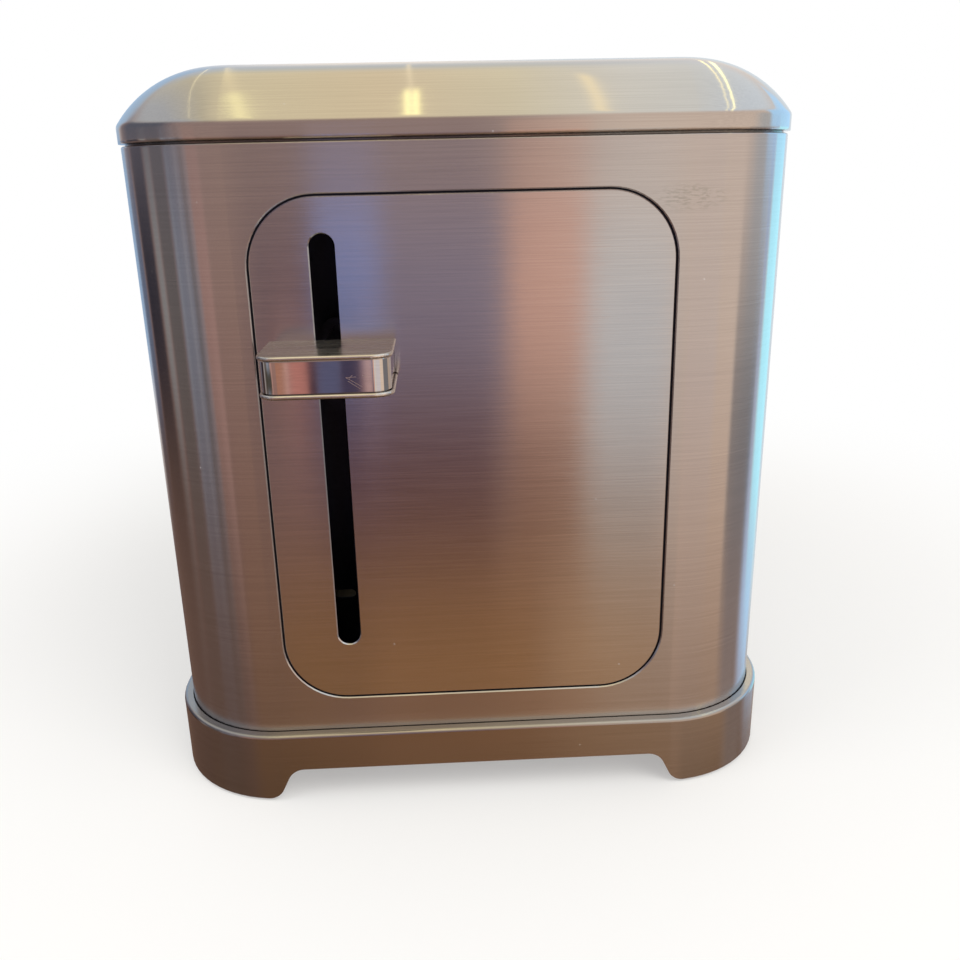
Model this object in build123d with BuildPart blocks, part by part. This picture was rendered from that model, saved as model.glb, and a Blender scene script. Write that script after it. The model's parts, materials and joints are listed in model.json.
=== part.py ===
from build123d import *
import math
import os

# A two-slice toaster, seen with its lever end towards -Y and its left side towards -X.
# Millimetres, +Z up. The origin is on the table, under the middle of the whole toaster.

# General sheet metal and clearances
fit_gap = 0.3
running_gap = 0.05
sheet = 0.8

# Body: a straight sleeve of brushed steel
body_width = 180.0
body_length = 275.0
body_corner_radius = 32.0
body_wall = 0.8
body_rim_radius = 0.5
body_seat_z = 16.8
body_top_z = 186.2

# Plinth with four corner legs
plinth_overhang = 3.0
plinth_bottom_z = 0.8
plinth_top_z = 22.2
plinth_rim_radius = 1.0
plinth_ledge_width = 9.0
plinth_inner_corner_radius = 50.0
arch_top_z = 10.6
arch_bend_radius = 5.2
arch_bend_angle = 64.0
leg_inset_front = 38.5
leg_inset_side = 38.5
foot_radius = 8.0
foot_recess = 2.0
foot_inset = 15.5

# Cap with a domed shoulder
cap_gap = 0.6
cap_overhang = 0.6
cap_wall = 1.0
cap_band_height = 4.3
cap_edge_radius = 2.0
dome_inset = 27.5
dome_rise = 14.6
cap_lip_depth = 5.0
cap_lip_wall = 1.5

# Bread slots and the chamber under them
slot_width = 32.0
slot_length = 150.0
slot_corner_radius = 7.0
slot_collar_wall = 1.2
slot_edge_chamfer = 0.5
chamber_margin = 8.0
chamber_below_body_top = 4.4
chamber_frame_clearance = 2.0

# Front panel, of the body's own sheet, let flush into the lever end
panel_from_corner = 3.8
panel_above_plinth = 10.9
panel_below_body_top = 12.8
panel_corner_radius = 17.5
panel_gap = 0.5
panel_edge_chamfer = 0.3
backing_margin = 3.5
backing_thickness = 1.0

# Lever slot and lever travel
lever_slot_from_edge = 18.5
lever_slot_width = 6.3
lever_slot_below_panel_top = 9.0
lever_top_clearance = 6.5
lever_bottom_clearance = 1.8
lever_lift_travel = 22.0

# Lever handle
handle_from_slot = 1.25
handle_width = 32.6
handle_height = 10.4
handle_reach = 23.2
handle_gap = 1.05
handle_plate = 1.1
handle_plate_round = 0.5
handle_band_recess = 0.7
handle_groove_height = 0.3
handle_groove_depth = 0.8
handle_corner_radius = 5.0
handle_pocket = 8.0
stem_width = 4.0
stem_height = 6.0

# Carriage behind the panel
carriage_plate = 1.5
carriage_from_bulkhead = 14.0
carriage_side_margin = 6.0
carriage_below_rack = 9.0
carriage_above_stem = 2.0
carriage_corner_radius = 4.0
rod_radius = 3.0
rod_from_bulkhead = 7.5
rod_ear_width = 14.0
rod_ear_wall = 1.5
rod_tab_below_top = 6.0
spring_x = 13.0
spring_radius = 3.6
spring_bore_radius = 2.6
keeper_x = 27.0
keeper_width = 30.0
keeper_depth = 14.0
keeper_height = 2.5
keeper_below_rack = 4.0
magnet_gap = 0.4
pole_width = 6.0
pole_depth = 10.0
magnet_base_height = 4.0
coil_wall = 3.0

# Bread racks
rack_below_handle = 14.1
rack_down_z = 40.8
rack_width = 10.0
rack_flange = 5.0
rack_hole_count = 9
rack_hole_pitch = 15.0
rack_hole_radius = 2.5
tongue_width = 1.5
tongue_height = 8.0
tongue_gap = 2.0

# Bread guides: two wire grids beside each slice, closing as the lever goes down
rail_radius = 1.25
guide_wire_radius = 0.9
guide_wire_count = 11
guide_wire_pitch = 13.5
guide_below_top = 9.0
guide_bottom_z = 40.8
guide_closing = 6.0
guide_rail_end = 2.5

# Heater cards
card_thickness = 0.8
card_bottom_z = 34.8
card_below_top = 7.0
ribbon_thickness = 0.4
ribbon_width = 2.2
ribbon_length = 142.0
ribbon_runs = 10
ribbon_pitch = 12.5
reflector_from_card = 8.0
control_bay = 22.4
reflector_flange = 6.0
reflector_bottom_z = 34.8
bulkhead_margin = 4.0
bulkhead_foot = 11.0
bulkhead_screw_inset = 9.0

# Crumb tray at the rear
tray_width = 104.0
tray_height = 9.0
tray_wall = 0.8
tray_bottom_z = 23.8
tray_front_gap = 3.0
tray_opening_radius = 2.0
tray_pull_reach = 6.0
tray_pull_width = 46.0
tray_pull_thickness = 1.6
runner_shelf = 9.0
runner_height = 9.0

# Controls on the left side
control_z = 60.8
dial_from_front = 85.0
dial_radius = 19.0
dial_reach = 6.5
dial_face_inset = 3.0
dial_boss_radius = 6.5
dial_shaft_radius = 3.0
dial_flute_count = 30
dial_flute_radius = 1.1
dial_mark_width = 1.6
dial_mark_depth = 0.6
button_from_dial = 42.0
button_pitch = 22.0
button_names = ["cancel_button", "reheat_button", "defrost_button"]
button_radius = 6.0
button_reach = 3.0
button_travel = 2.2
button_flange = 1.5
button_flange_thickness = 1.2
button_edge_radius = 0.8
board_inset = 13.0
board_thickness = 1.6
board_height = 36.0
board_margin = 14.0
pot_radius = 8.5
pot_height = 7.0
switch_size = 6.2
switch_height = 3.5
standoff_radius = 2.5
standoff_length = 4.0

# Cord bush at the rear
bush_x = 38.0
bush_z = 48.8
bush_hole_radius = 6.0
bush_flange_radius = 8.0
bush_flange_thickness = 2.4
bush_bore_radius = 3.8
terminal_from_rack = 3.25
terminal_z = 76.8
terminal_width = 30.0
terminal_height = 18.0
terminal_depth = 12.0

# Screws and vents
screw_radius = 1.5
screw_head_radius = 2.75
screw_head_height = 1.8
base_screw_pitch = 80.0
vent_length = 34.0
vent_width = 4.0
vent_pitch = 11.0
vent_rows = 5

# Places worked out from the sizes above
body_centre_y = (handle_reach - tray_pull_reach) / 2
half_length = body_length / 2
wall_inside_x = body_width / 2 - body_wall
floor_z = body_seat_z + body_wall
cap_bottom_z = body_top_z + cap_gap
cap_band_z = cap_bottom_z + cap_band_height
cap_top_z = cap_band_z + dome_rise

reflector_x = wall_inside_x - control_bay - sheet
card_x = reflector_x - reflector_from_card
slot_pitch = card_x
chamber_top_z = body_top_z - chamber_below_body_top
chamber_half = slot_length / 2 + chamber_margin
card_top_z = chamber_top_z - card_below_top
guide_top_z = chamber_top_z - guide_below_top
guide_offset = slot_width / 2 + rail_radius
bulkhead_face = chamber_half + sheet
bulkhead_width = 2 * (reflector_x + bulkhead_margin)

panel_width = body_width - 2 * (body_corner_radius + panel_from_corner)
panel_bottom_z = plinth_top_z + panel_above_plinth
panel_top_z = body_top_z - panel_below_body_top
panel_height = panel_top_z - panel_bottom_z
panel_centre_z = (panel_top_z + panel_bottom_z) / 2

lever_slot_x = lever_slot_from_edge - panel_width / 2
lever_slot_top_z = panel_top_z - lever_slot_below_panel_top
handle_x = lever_slot_x + handle_from_slot
handle_z = lever_slot_top_z - lever_top_clearance - stem_height / 2 - lever_lift_travel
rack_z = handle_z - rack_below_handle
lever_down_travel = rack_z - rack_down_z
lever_slot_bottom_z = handle_z - lever_down_travel - stem_height / 2 - lever_bottom_clearance
guide_opening = guide_closing * lever_lift_travel / lever_down_travel

carriage_y = -(bulkhead_face + carriage_from_bulkhead)
rod_y = -(bulkhead_face + rod_from_bulkhead)
rod_tab_z = chamber_top_z - rod_tab_below_top
keeper_bottom_z = rack_z - keeper_below_rack
magnet_y = carriage_y - carriage_plate - pole_depth / 2 - coil_wall - 2 * fit_gap

tray_opening_width = tray_width + 4 * fit_gap
board_face_x = wall_inside_x - board_inset
dial_y = dial_from_front - half_length
button_places = [dial_y + button_from_dial + i * button_pitch for i in range(len(button_names))]
terminal_x = (
    slot_pitch / 2 + tongue_width / 2 + tongue_gap + terminal_from_rack + terminal_width / 2
)
base_screw_x = body_width / 2 - plinth_ledge_width / 2 - body_wall
foot_x = body_width / 2 - foot_inset
foot_y = half_length - foot_inset
sides = {"left": -1, "right": 1}
ends = {"front": -1, "rear": 1}


def level(z):
    """Horizontal plane at height z, centred on the body."""
    return Plane((0, body_centre_y, z))


def crosswise(y):
    """Upright plane across the body, y from its middle, facing the lever end."""
    return Plane(origin=(0, body_centre_y + y, 0), x_dir=(1, 0, 0), z_dir=(0, -1, 0))


def lengthwise(x):
    """Upright plane along the body at x, facing the right side."""
    return Plane(origin=(x, body_centre_y, 0), x_dir=(0, 1, 0), z_dir=(1, 0, 0))


def save(piece, name):
    piece.part.label = name
    export_step(piece.part, f"parts/{name}.step")


def body_outline(grow):
    """The body's rounded rectangle in plan, grown or shrunk all round."""
    RectangleRounded(body_width + 2 * grow, body_length + 2 * grow, body_corner_radius + grow)


def body_shell():
    with BuildPart() as shell:
        with BuildSketch(level(body_seat_z)):
            body_outline(0)
        extrude(amount=body_top_z - body_seat_z)
        fillet(shell.edges().group_by(Axis.Z)[-1], radius=body_rim_radius)
        with BuildSketch(level(body_seat_z)):
            body_outline(-body_wall)
        extrude(amount=body_top_z - body_seat_z, mode=Mode.SUBTRACT)
        with BuildSketch(crosswise(-half_length)):
            with Locations((0, panel_centre_z)):
                RectangleRounded(
                    panel_width + 2 * panel_gap,
                    panel_height + 2 * panel_gap,
                    panel_corner_radius + panel_gap,
                )
        extrude(amount=-body_wall, mode=Mode.SUBTRACT)
        window_reach = panel_height / 2 + 2 * panel_gap
        window = shell.edges().filter_by_position(
            Axis.Z, panel_centre_z - window_reach, panel_centre_z + window_reach
        )
        chamfer(window.group_by(Axis.Y)[0], length=panel_edge_chamfer)
        with BuildSketch(crosswise(half_length)):
            with Locations((0, tray_bottom_z + tray_height / 2)):
                RectangleRounded(
                    tray_opening_width, tray_height + 4 * fit_gap, tray_opening_radius
                )
            with Locations((bush_x, bush_z)):
                Circle(bush_hole_radius)
        extrude(amount=body_wall, mode=Mode.SUBTRACT)
        with BuildSketch(lengthwise(-body_width / 2)):
            with Locations((dial_y, control_z)):
                Circle(dial_boss_radius + fit_gap)
            with Locations(*[(y, control_z) for y in button_places]):
                Circle(button_radius + fit_gap)
        extrude(amount=body_wall, mode=Mode.SUBTRACT)
    save(shell, "body_shell")


def arch_profile(plane, half_width):
    """The space between two legs: a flat ceiling with a sloping S-curve down each leg."""
    angle = math.radians(arch_bend_angle)
    bend_width = arch_bend_radius * math.sin(angle)
    bend_drop = arch_bend_radius * (1 - math.cos(angle))
    slope_width = (arch_top_z - plinth_bottom_z - 2 * bend_drop) / math.tan(angle)
    reach = half_width + 2 * bend_width + slope_width
    with BuildSketch(plane) as arch:
        with BuildLine():
            toe = JernArc((-reach, plinth_bottom_z), (1, 0), arch_bend_radius, arch_bend_angle)
            slope = Line(toe @ 1, (-half_width - bend_width, arch_top_z - bend_drop))
            turn = JernArc(slope @ 1, slope % 1, arch_bend_radius, -arch_bend_angle)
            Line(turn @ 1, (0, arch_top_z))
            Polyline(toe @ 0, (-reach, -plinth_bottom_z), (0, -plinth_bottom_z))
            mirror(about=Plane.YZ)
        make_face()
    return arch.sketch


def base_plinth():
    with BuildPart() as plinth:
        with BuildSketch(level(plinth_bottom_z)):
            body_outline(plinth_overhang)
        extrude(amount=plinth_top_z - plinth_bottom_z)
        fillet(plinth.edges().group_by(Axis.Z)[-1], radius=plinth_rim_radius)
        with BuildSketch(level(body_seat_z)):
            body_outline(fit_gap)
        extrude(amount=plinth_top_z - body_seat_z, mode=Mode.SUBTRACT)
        with BuildSketch(level(plinth_bottom_z)):
            RectangleRounded(
                body_width - 2 * plinth_ledge_width,
                body_length - 2 * plinth_ledge_width,
                plinth_inner_corner_radius,
            )
        extrude(amount=body_seat_z - plinth_bottom_z, mode=Mode.SUBTRACT)
        front_arch = arch_profile(crosswise(0), body_width / 2 - leg_inset_front)
        extrude(front_arch, amount=body_length, both=True, mode=Mode.SUBTRACT)
        side_arch = arch_profile(lengthwise(0), half_length - leg_inset_side)
        extrude(side_arch, amount=body_width, both=True, mode=Mode.SUBTRACT)
        with BuildSketch(level(plinth_bottom_z)):
            with GridLocations(2 * foot_x, 2 * foot_y, 2, 2):
                Circle(foot_radius + fit_gap)
        extrude(amount=foot_recess, mode=Mode.SUBTRACT)
        with BuildSketch(level(arch_top_z)):
            base_screw_places(screw_radius + fit_gap)
        extrude(amount=body_seat_z - arch_top_z, mode=Mode.SUBTRACT)
    save(plinth, "base_plinth")


def base_screw_places(radius, mode=Mode.ADD):
    """Three screws along each long ledge of the plinth."""
    with GridLocations(2 * base_screw_x, base_screw_pitch, 2, 3):
        Circle(radius, mode=mode)


def base_screws():
    with BuildPart() as screws:
        with BuildSketch(level(arch_top_z)):
            base_screw_places(screw_radius)
        extrude(amount=floor_z + sheet - arch_top_z)
        with BuildSketch(level(arch_top_z - screw_head_height)):
            base_screw_places(screw_head_radius)
        extrude(amount=screw_head_height)
    save(screws, "base_screws")


def rubber_feet():
    for end_name, end in ends.items():
        for side_name, side in sides.items():
            with BuildPart() as foot:
                with BuildSketch(Plane((side * foot_x, body_centre_y + end * foot_y, 0))):
                    Circle(foot_radius)
                extrude(amount=plinth_bottom_z + foot_recess)
                chamfer(foot.edges().group_by(Axis.Z)[0], length=fit_gap)
            save(foot, f"rubber_foot_{end_name}_{side_name}")


def bottom_plate():
    vent_reach = (vent_rows - 1) * vent_pitch / 2
    with BuildPart() as plate:
        with BuildSketch(level(body_seat_z)):
            body_outline(-body_wall - fit_gap)
            base_screw_places(screw_radius + fit_gap, mode=Mode.SUBTRACT)
            for end in ends.values():
                with Locations((0, end * (vent_reach + vent_pitch))):
                    with GridLocations(vent_length + vent_pitch, vent_pitch, 2, vent_rows):
                        SlotOverall(vent_length, vent_width, mode=Mode.SUBTRACT)
        extrude(amount=body_wall)
    save(plate, "bottom_plate")


def top_cap():
    width = body_width + 2 * cap_overhang
    length = body_length + 2 * cap_overhang
    radius = body_corner_radius + cap_overhang
    dome_radius = (dome_inset**2 + dome_rise**2) / (2 * dome_rise)
    dome_centre_z = cap_top_z - dome_radius
    lip_outside = cap_overhang + body_wall + fit_gap
    lip_inside = lip_outside + cap_lip_wall
    inner_spring_z = dome_centre_z + math.sqrt(
        (dome_radius - cap_wall) ** 2 - (dome_inset - cap_wall) ** 2
    )
    with BuildPart() as cap:
        with BuildLine(level(cap_bottom_z)) as rim:
            FilletPolyline(
                (-width / 2, -length / 2),
                (width / 2, -length / 2),
                (width / 2, length / 2),
                (-width / 2, length / 2),
                radius=radius,
                close=True,
            )
        start = rim.wire() @ 0
        heading = rim.wire() % 0
        inward = Vector(0, 0, 1).cross(heading)
        with BuildSketch(Plane((start.X, start.Y, 0), x_dir=inward, z_dir=heading)) as edge:
            with BuildLine():
                band = Line((0, cap_bottom_z), (0, cap_band_z))
                dome = RadiusArc(band @ 1, (dome_inset, cap_top_z), dome_radius)
                flat = Line(dome @ 1, (dome_inset + cap_wall, cap_top_z))
                drop = Line(flat @ 1, (dome_inset + cap_wall, cap_top_z - cap_wall))
                under = Line(drop @ 1, (dome_inset, cap_top_z - cap_wall))
                inner = RadiusArc(
                    under @ 1, (cap_wall, inner_spring_z), -(dome_radius - cap_wall)
                )
                Polyline(
                    inner @ 1,
                    (cap_wall, cap_bottom_z + cap_wall),
                    (lip_inside, cap_bottom_z + cap_wall),
                    (lip_inside, cap_bottom_z - cap_lip_depth),
                    (lip_outside, cap_bottom_z - cap_lip_depth),
                    (lip_outside, cap_bottom_z),
                    band @ 0,
                )
            make_face()
            shoulder = edge.vertices().group_by(Axis.X)[0].sort_by(Axis.Y)[-1]
            fillet(shoulder, radius=cap_edge_radius)
        sweep(path=rim.wire())
        with BuildSketch(level(cap_top_z - cap_wall)):
            RectangleRounded(
                width - 2 * dome_inset, length - 2 * dome_inset, radius - dome_inset
            )
        extrude(amount=cap_wall)
        collar_bottom_z = chamber_top_z + sheet + fit_gap
        with BuildSketch(level(collar_bottom_z)):
            with GridLocations(slot_pitch, 0, 2, 1):
                slot_outline(slot_collar_wall)
        extrude(amount=cap_top_z - collar_bottom_z)
        with BuildSketch(level(collar_bottom_z)):
            with GridLocations(slot_pitch, 0, 2, 1):
                slot_outline(0)
        extrude(amount=cap_top_z - collar_bottom_z, mode=Mode.SUBTRACT)
        mouth = cap.edges().group_by(Axis.Z)[-1].filter_by_position(
            Axis.Y, body_centre_y - slot_length / 2, body_centre_y + slot_length / 2
        )
        mouth = mouth.filter_by_position(
            Axis.X, -(slot_pitch + slot_width) / 2, (slot_pitch + slot_width) / 2
        )
        chamfer(mouth, length=slot_edge_chamfer)
    save(cap, "top_cap")


def slot_outline(grow):
    """One bread slot in plan, grown all round."""
    RectangleRounded(slot_width + 2 * grow, slot_length + 2 * grow, slot_corner_radius + grow)


def front_panel():
    with BuildPart() as panel:
        with BuildSketch(crosswise(-half_length)):
            with Locations((0, panel_centre_z)):
                RectangleRounded(panel_width, panel_height, panel_corner_radius)
        extrude(amount=-body_wall)
        chamfer(panel.edges().group_by(Axis.Y)[0], length=panel_edge_chamfer)
        slot = lever_slot_profile(-half_length, 0)
        extrude(slot, amount=-body_wall, mode=Mode.SUBTRACT)
        reach = lever_slot_width
        rim = panel.edges().group_by(Axis.Y)[0].filter_by_position(
            Axis.X, lever_slot_x - reach, lever_slot_x + reach
        )
        rim = rim.filter_by_position(Axis.Z, lever_slot_bottom_z - reach, lever_slot_top_z + reach)
        chamfer(rim, length=panel_edge_chamfer)
    save(panel, "front_panel")


def lever_slot_profile(y, grow):
    """The lever's upright slot with round ends, in the plate face at y."""
    slot_height = lever_slot_top_z - lever_slot_bottom_z + 2 * grow
    with BuildSketch(crosswise(y)) as slot:
        with Locations((lever_slot_x, (lever_slot_top_z + lever_slot_bottom_z) / 2)):
            SlotOverall(slot_height, lever_slot_width + 2 * grow, rotation=90)
    return slot.sketch


def panel_backing():
    front = -half_length + body_wall
    grow = 2 * backing_margin
    with BuildPart() as backing:
        with BuildSketch(crosswise(front)):
            with Locations((0, panel_centre_z)):
                RectangleRounded(
                    panel_width + grow, panel_height + grow, panel_corner_radius + backing_margin
                )
        extrude(amount=-backing_thickness)
        slot = lever_slot_profile(front, panel_gap)
        extrude(slot, amount=-backing_thickness, mode=Mode.SUBTRACT)
    save(backing, "panel_backing")


def handle_plan(bottom, inset):
    """The handle in plan: square at the panel, with its two outer corners rounded."""
    depth = handle_reach - handle_gap - inset
    middle = -half_length - handle_gap - depth / 2
    with BuildSketch(level(bottom)) as plan:
        with Locations((handle_x, middle)):
            Rectangle(handle_width - 2 * inset, depth)
        fillet(plan.vertices().group_by(Axis.Y)[0], radius=handle_corner_radius - inset)
    return plan.sketch


def handle_band():
    bottom = handle_z - handle_height / 2 + handle_plate
    height = handle_height - 2 * handle_plate
    groove = handle_groove_height
    with BuildPart() as band:
        extrude(handle_plan(bottom, handle_band_recess + handle_groove_depth), amount=height)
        extrude(handle_plan(bottom + groove, handle_band_recess), amount=height - 2 * groove)
        with BuildSketch(crosswise(-half_length - handle_gap)):
            with Locations((lever_slot_x, handle_z)):
                Rectangle(stem_width + 2 * fit_gap, stem_height + 2 * fit_gap)
        extrude(amount=handle_pocket, mode=Mode.SUBTRACT)
    save(band, "handle_band")


def handle_plates():
    reach = handle_height / 2
    for name, bottom in [
        ("handle_bottom_plate", handle_z - reach),
        ("handle_top_plate", handle_z + reach - handle_plate),
    ]:
        with BuildPart() as plate:
            extrude(handle_plan(bottom, 0), amount=handle_plate)
            lips = plate.edges().filter_by(Axis.Z, reverse=True)
            lips = lips - plate.edges().group_by(Axis.Y)[-1]
            fillet(lips, radius=min(handle_plate_round, 0.48 * handle_plate))
        save(plate, name)


def lever_stem():
    front = -half_length - handle_gap - handle_pocket
    with BuildPart() as stem:
        with BuildSketch(crosswise(carriage_y - carriage_plate)):
            with Locations((lever_slot_x, handle_z)):
                Rectangle(stem_width, stem_height)
        extrude(amount=carriage_y - carriage_plate - front)
    save(stem, "lever_stem")


def carriage_bracket():
    bottom = rack_z - carriage_below_rack
    top = handle_z + stem_height / 2 + carriage_above_stem
    left = lever_slot_x - carriage_side_margin
    right = slot_pitch / 2 + keeper_width / 2
    ear_depth = carriage_from_bulkhead - rod_from_bulkhead + rod_radius + rod_ear_wall
    with BuildPart() as bracket:
        with BuildSketch(crosswise(carriage_y)):
            with Locations(((left + right) / 2, (top + bottom) / 2)):
                RectangleRounded(right - left, top - bottom, carriage_corner_radius)
        extrude(amount=carriage_plate)
        for z in (bottom, top - carriage_plate):
            lug = spring_x + spring_radius if z == bottom else rod_ear_width / 2
            with BuildSketch(level(z)):
                with Locations(((lug - rod_ear_width / 2) / 2, carriage_y + ear_depth / 2)):
                    Rectangle(lug + rod_ear_width / 2, ear_depth)
                with Locations((0, rod_y)):
                    Circle(rod_radius + running_gap, mode=Mode.SUBTRACT)
            extrude(amount=carriage_plate)
        with BuildSketch(level(keeper_bottom_z + keeper_height)):
            with Locations((keeper_x, carriage_y - carriage_plate - keeper_depth / 2)):
                Rectangle(keeper_width, keeper_depth)
        extrude(amount=carriage_plate)
    save(bracket, "carriage_bracket")


def keeper_plate():
    with BuildPart() as keeper:
        with BuildSketch(level(keeper_bottom_z)):
            with Locations((keeper_x, carriage_y - carriage_plate - keeper_depth / 2)):
                Rectangle(keeper_width - 2 * fit_gap, keeper_depth - 2 * fit_gap)
        extrude(amount=keeper_height)
    save(keeper, "keeper_plate")


def magnet_pole_places():
    reach = keeper_width / 2 - coil_wall - pole_width / 2 - fit_gap
    return [(keeper_x + side * reach, magnet_y) for side in sides.values()]


def magnet_core():
    top = keeper_bottom_z - lever_down_travel - magnet_gap
    places = magnet_pole_places()
    with BuildPart() as core:
        with BuildSketch(level(floor_z)):
            with Locations((keeper_x, magnet_y)):
                Rectangle(places[1][0] - places[0][0] + pole_width, pole_depth)
        extrude(amount=magnet_base_height)
        with BuildSketch(level(floor_z)):
            with Locations(*places):
                Rectangle(pole_width, pole_depth)
        extrude(amount=top - floor_z)
    save(core, "magnet_core")


def magnet_coils():
    bottom = floor_z + magnet_base_height
    top = keeper_bottom_z - lever_down_travel - magnet_gap - coil_wall
    with BuildPart() as coils:
        with BuildSketch(level(bottom)):
            with Locations(*magnet_pole_places()):
                RectangleRounded(pole_width + 2 * coil_wall, pole_depth + 2 * coil_wall, coil_wall)
            with Locations(*magnet_pole_places()):
                Rectangle(pole_width + fit_gap, pole_depth + fit_gap, mode=Mode.SUBTRACT)
        extrude(amount=top - bottom)
    save(coils, "magnet_coils")


def guide_rod():
    with BuildPart() as rod:
        with BuildSketch(level(floor_z)):
            with Locations((0, rod_y)):
                Circle(rod_radius)
        extrude(amount=chamber_top_z - floor_z)
    save(rod, "guide_rod")


def lift_spring():
    bottom = rack_z - carriage_below_rack + carriage_plate + fit_gap
    with BuildPart() as spring:
        with BuildSketch(level(bottom)):
            with Locations((spring_x, rod_y)):
                Circle(spring_radius)
                Circle(spring_bore_radius, mode=Mode.SUBTRACT)
        extrude(amount=rod_tab_z - fit_gap - bottom)
    save(spring, "lift_spring")


def guide_slots():
    """Slots in a bulkhead for the ends of the guide rails, as long as their travel."""
    travel = guide_closing + guide_opening
    for name, x, direction in guide_places():
        middle = x + direction * (guide_closing - guide_opening) / 2
        for z in (guide_bottom_z, guide_top_z):
            with Locations((middle, z)):
                SlotCenterToCenter(travel, 2 * (rail_radius + fit_gap), mode=Mode.SUBTRACT)


def guide_places():
    """Name, place and closing direction of each wire grid, from left to right."""
    places = []
    for side_name, side in sides.items():
        centre = side * slot_pitch / 2
        for edge_name, edge in (("outer", side), ("inner", -side)):
            places.append((f"bread_guide_{side_name}_{edge_name}", centre + edge * guide_offset, -edge))
    return places


def bulkhead(end_name, end):
    """Upright steel plate at one end of the heating chamber."""
    face = end * bulkhead_face
    rack_slot_bottom = rack_z - lever_down_travel - tongue_height / 2 - tongue_gap
    rack_slot_top = rack_z + lever_lift_travel + tongue_height / 2 + tongue_gap
    with BuildPart() as plate:
        with BuildSketch(crosswise(face)):
            with Locations((0, (chamber_top_z + floor_z) / 2)):
                Rectangle(bulkhead_width, chamber_top_z - floor_z)
            with GridLocations(slot_pitch, 0, 2, 1):
                with Locations((0, (rack_slot_top + rack_slot_bottom) / 2)):
                    SlotOverall(
                        rack_slot_top - rack_slot_bottom,
                        tongue_width + 2 * tongue_gap,
                        rotation=90,
                        mode=Mode.SUBTRACT,
                    )
            guide_slots()
        extrude(amount=end * sheet)
        with BuildSketch(level(floor_z)):
            with Locations((0, face + end * bulkhead_foot / 2)):
                Rectangle(bulkhead_width, bulkhead_foot)
                with GridLocations(bulkhead_width - bulkhead_screw_inset, 0, 2, 1):
                    Circle(screw_radius + fit_gap, mode=Mode.SUBTRACT)
            if end_name == "front":
                with Locations((0, rod_y)):
                    Circle(rod_radius + running_gap, mode=Mode.SUBTRACT)
        extrude(amount=sheet)
        if end_name == "front":
            tab_width = spring_x + spring_radius + rod_ear_width / 2
            tab_depth = rod_from_bulkhead + rod_ear_width / 2
            with BuildSketch(level(rod_tab_z)):
                with Locations((tab_width / 2 - rod_ear_width / 2, face - tab_depth / 2)):
                    Rectangle(tab_width, tab_depth)
                with Locations((0, rod_y)):
                    Circle(rod_radius + running_gap, mode=Mode.SUBTRACT)
            extrude(amount=carriage_plate)
        else:
            with BuildSketch(level(floor_z)):
                with Locations((0, face)):
                    Rectangle(tray_width + 2 * (sheet + 2 * fit_gap), 3 * bulkhead_foot)
            extrude(amount=tray_bottom_z + tray_height + fit_gap - floor_z, mode=Mode.SUBTRACT)
    save(plate, f"{end_name}_bulkhead")


def bulkhead_screws():
    with BuildPart() as screws:
        for end in ends.values():
            with BuildSketch(level(floor_z + sheet)):
                with Locations((0, end * (bulkhead_face + bulkhead_foot / 2))):
                    with GridLocations(bulkhead_width - bulkhead_screw_inset, 0, 2, 1):
                        Circle(screw_head_radius)
            extrude(amount=screw_head_height)
            with BuildSketch(level(floor_z)):
                with Locations((0, end * (bulkhead_face + bulkhead_foot / 2))):
                    with GridLocations(bulkhead_width - bulkhead_screw_inset, 0, 2, 1):
                        Circle(screw_radius)
            extrude(amount=sheet)
    save(screws, "bulkhead_screws")


def chamber_frame():
    """Plate across the top of the heating chamber, open under both bread slots."""
    with BuildPart() as frame:
        with BuildSketch(level(chamber_top_z)):
            Rectangle(bulkhead_width, 2 * bulkhead_face)
            with GridLocations(slot_pitch, 0, 2, 1):
                Rectangle(
                    slot_width + 2 * chamber_frame_clearance,
                    slot_length + 2 * chamber_frame_clearance,
                    mode=Mode.SUBTRACT,
                )
        extrude(amount=sheet)
    save(frame, "chamber_top_frame")


def reflectors():
    for side_name, side in sides.items():
        with BuildPart() as reflector:
            height = chamber_top_z - reflector_bottom_z
            with BuildSketch(lengthwise(side * reflector_x)):
                with Locations((0, reflector_bottom_z + height / 2)):
                    Rectangle(2 * chamber_half, height)
            extrude(amount=side * sheet)
            for z in (reflector_bottom_z, chamber_top_z - sheet):
                with BuildSketch(level(z)):
                    with Locations((side * (reflector_x - reflector_flange / 2 + sheet), 0)):
                        Rectangle(reflector_flange, 2 * chamber_half)
                extrude(amount=sheet)
        save(reflector, f"heat_reflector_{side_name}")


def heater_card(name, x):
    height = card_top_z - card_bottom_z
    with BuildPart() as card:
        with BuildSketch(lengthwise(x - card_thickness / 2)):
            with Locations((0, card_bottom_z + height / 2)):
                Rectangle(2 * (chamber_half - fit_gap), height)
        extrude(amount=card_thickness)
    save(card, f"mica_card_{name}")


def heater_ribbon(name, faces):
    """A flat resistance ribbon laid to and fro on each face of a mica card."""
    middle_z = (card_top_z + card_bottom_z) / 2
    with BuildPart() as ribbon:
        for x, side in faces:
            with BuildSketch(lengthwise(x + side * card_thickness / 2)):
                for run in range(ribbon_runs):
                    z = middle_z + (run - (ribbon_runs - 1) / 2) * ribbon_pitch
                    with Locations((0, z)):
                        Rectangle(ribbon_length, ribbon_width)
                    if run < ribbon_runs - 1:
                        end = 1 if run % 2 else -1
                        with Locations((end * (ribbon_length - ribbon_width) / 2, z + ribbon_pitch / 2)):
                            Rectangle(ribbon_width, ribbon_pitch)
            extrude(amount=side * ribbon_thickness)
    save(ribbon, f"heater_ribbon_{name}")


def heaters():
    heater_card("centre", 0)
    heater_ribbon("centre", [(0, -1), (0, 1)])
    for side_name, side in sides.items():
        heater_card(side_name, side * card_x)
        heater_ribbon(side_name, [(side * card_x, -side)])


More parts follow.
